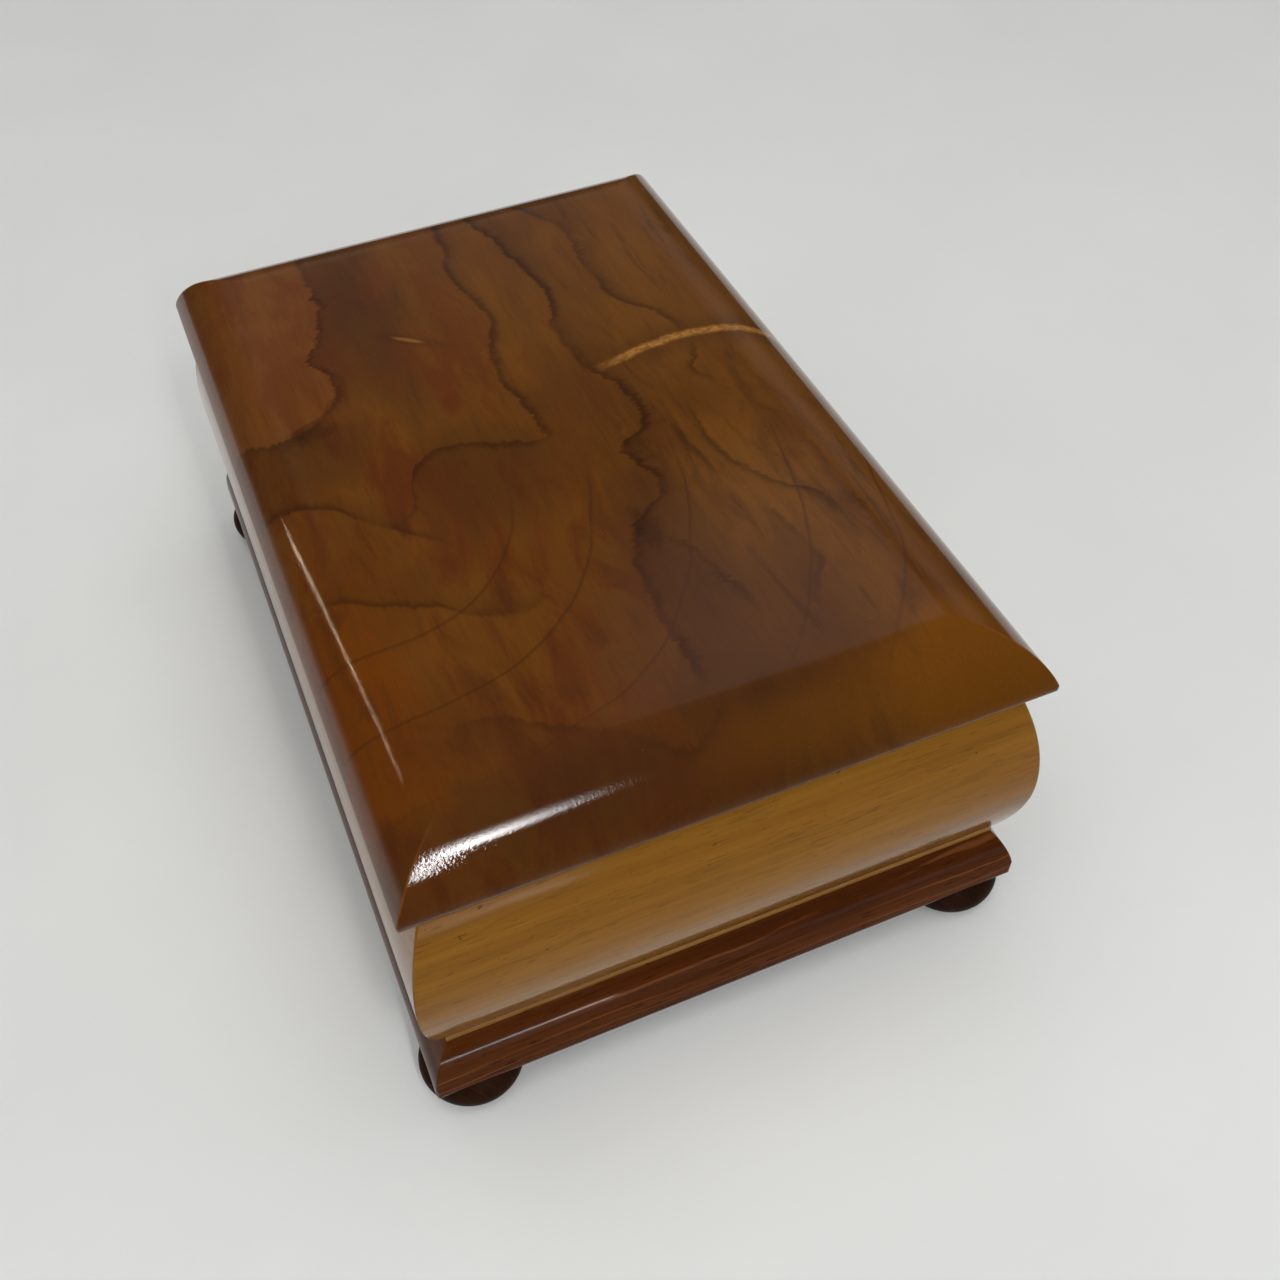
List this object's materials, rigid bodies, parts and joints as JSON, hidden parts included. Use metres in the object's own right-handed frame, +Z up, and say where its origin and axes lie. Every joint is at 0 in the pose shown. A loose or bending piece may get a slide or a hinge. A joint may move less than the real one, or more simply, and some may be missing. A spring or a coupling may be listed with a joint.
{
  "type": "cylinder music box",
  "caption": "Lacquered bombe wooden music box with a hinged pillow lid, bun feet, a pinned cylinder and comb movement under glass, and a winding key beneath.",
  "frame": {"origin": "on the floor, under the middle of the four feet", "axes": "+Z up, +X along the box's length towards the end with the open compartment, +Y towards the lid's hinges"},
  "size_m": [0.309, 0.209, 0.131],
  "materials": {
    "lid_wood": "high-gloss lacquer over figured walnut",
    "wall_wood": "high-gloss lacquer over straight-grained wood",
    "base_wood": "high-gloss lacquer over red-brown open-grained wood",
    "foot_wood": "gloss lacquer over dark brown wood",
    "panel_wood": "satin",
    "felt": "felt",
    "glass": "clear, ground edges",
    "brass": "polished",
    "plated_brass": "satin gilt",
    "steel": "polished",
    "cast_iron": "machined top, grey sides",
    "cement": "dull resin cement"
  },
  "bodies": {
    "case": {"wall_front": "wall_wood", "wall_back": "wall_wood", "wall_left": "wall_wood", "wall_right": "wall_wood", "base_front": "base_wood", "base_back": "base_wood", "base_left": "base_wood", "base_right": "base_wood", "foot_front_left": "foot_wood", "foot_front_right": "foot_wood", "foot_back_left": "foot_wood", "foot_back_right": "foot_wood", "bottom_panel": "panel_wood", "partition": "panel_wood", "ledge_front": "panel_wood", "ledge_back": "panel_wood", "ledge_left": "panel_wood", "storage_felt": "felt", "glass_cover": "glass", "hinge_case_leaves": "brass", "barrel_bridge": "brass", "key_bush": "brass", "bearing_left": "brass", "bearing_right": "brass", "governor_frame": "brass", "stop_post": "brass", "bed_pillars": "brass", "bedplate": "plated_brass", "hinge_pins": "steel", "bed_screws": "steel", "click_screw": "steel", "comb": "steel", "comb_screws": "steel", "movement_screws": "steel", "comb_base": "cast_iron"},
    "lid": {"lid": "lid_wood", "lid_lining": "felt", "hinge_lid_leaves": "brass"},
    "winding": {"winding_key": "steel", "barrel_arbor": "steel", "ratchet_wheel": "steel"},
    "click": {"click": "steel"},
    "barrel": {"barrel_drum": "brass", "great_wheel": "brass", "mainspring": "steel"},
    "cylinder": {"cylinder_shell": "brass", "cylinder_cement": "cement", "cylinder_pins": "steel", "cylinder_arbor": "steel", "cylinder_pinion": "steel", "cylinder_wheel": "brass"},
    "governor": {"governor_pinion": "steel", "governor_arbor": "steel", "worm_wheel": "brass"},
    "fly": {"endless_screw": "steel", "air_brake_fan": "brass"},
    "stop_lever": {"stop_lever": "steel"}
  },
  "joints": [
    {"name": "lid_hinge", "type": "hinge", "parent": "case", "child": "lid", "pos_m": [0, 0.0943, 0.1105], "axis": [-1, 0, 0], "range_deg": [0, 95]},
    {"name": "key_winding", "type": "hinge", "parent": "case", "child": "winding", "pos_m": [-0.094, 0.01, 0.02], "axis": [0, 0, 1], "continuous": true},
    {"name": "click_pivot", "type": "hinge", "parent": "case", "child": "click", "pos_m": [-0.079, 0.0232, 0.046], "axis": [0, 0, -1], "range_deg": [0, 12]},
    {"name": "cylinder_turn", "type": "hinge", "parent": "case", "child": "cylinder", "pos_m": [0, 0.01, 0.08202], "axis": [1, 0, 0], "continuous": true},
    {"name": "barrel_turn", "type": "hinge", "parent": "case", "child": "barrel", "pos_m": [-0.094, 0.01, 0.06], "axis": [0, 0, 1], "continuous": true},
    {"name": "governor_turn", "type": "hinge", "parent": "case", "child": "governor", "pos_m": [0.0505, 0.02485, 0.06717], "axis": [1, 0, 0], "continuous": true},
    {"name": "fly_turn", "type": "hinge", "parent": "case", "child": "fly", "pos_m": [0.0505, 0.03685, 0.08], "axis": [0, 0, 1], "continuous": true},
    {"name": "stop_swing", "type": "hinge", "parent": "case", "child": "stop_lever", "pos_m": [0.0505, 0.05535, 0.083], "axis": [0, 0, 1], "range_deg": [0, 20]}
  ],
  "couplings": [
    {"joint": "barrel_turn", "follows": "cylinder_turn", "ratio": 0.25},
    {"joint": "governor_turn", "follows": "cylinder_turn", "ratio": -6},
    {"joint": "fly_turn", "follows": "cylinder_turn", "ratio": 180}
  ]
}
